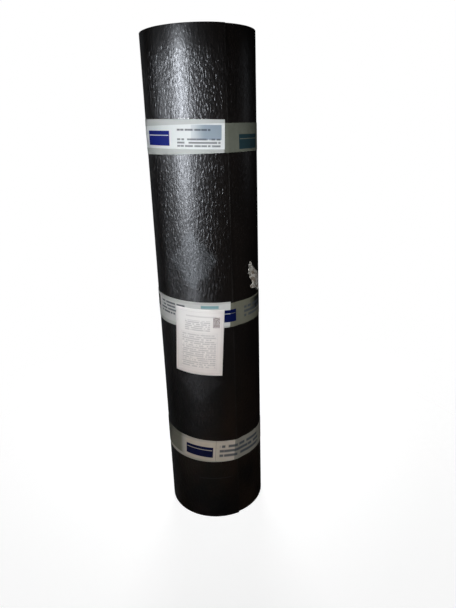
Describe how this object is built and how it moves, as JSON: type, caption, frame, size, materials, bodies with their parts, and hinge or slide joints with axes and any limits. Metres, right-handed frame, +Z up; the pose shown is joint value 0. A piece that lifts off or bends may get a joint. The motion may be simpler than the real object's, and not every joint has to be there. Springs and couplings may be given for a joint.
{
  "type": "roll of roofing felt",
  "caption": "Upright roll of black bituminous roofing felt with an open bore, its spiral turns showing on the ends, held by lapped bands of white tape and carrying a paper label.",
  "frame": {"origin": "on the roll's axis at its foot, the plane it stands on", "axes": "+Z up along the roll's axis, -Y towards the front with the label, +X to the right of the front"},
  "size_m": [0.2143, 0.2167, 1],
  "materials": {
    "felt": "satin",
    "tape": "satin",
    "label": "matte",
    "film": "gloss"
  },
  "bodies": {
    "root": {"felt_roll": "felt", "tape_band_top": "tape", "tape_band_middle": "tape", "tape_band_bottom": "tape", "paper_label": "label", "torn_film": "film"}
  },
  "joints": []
}
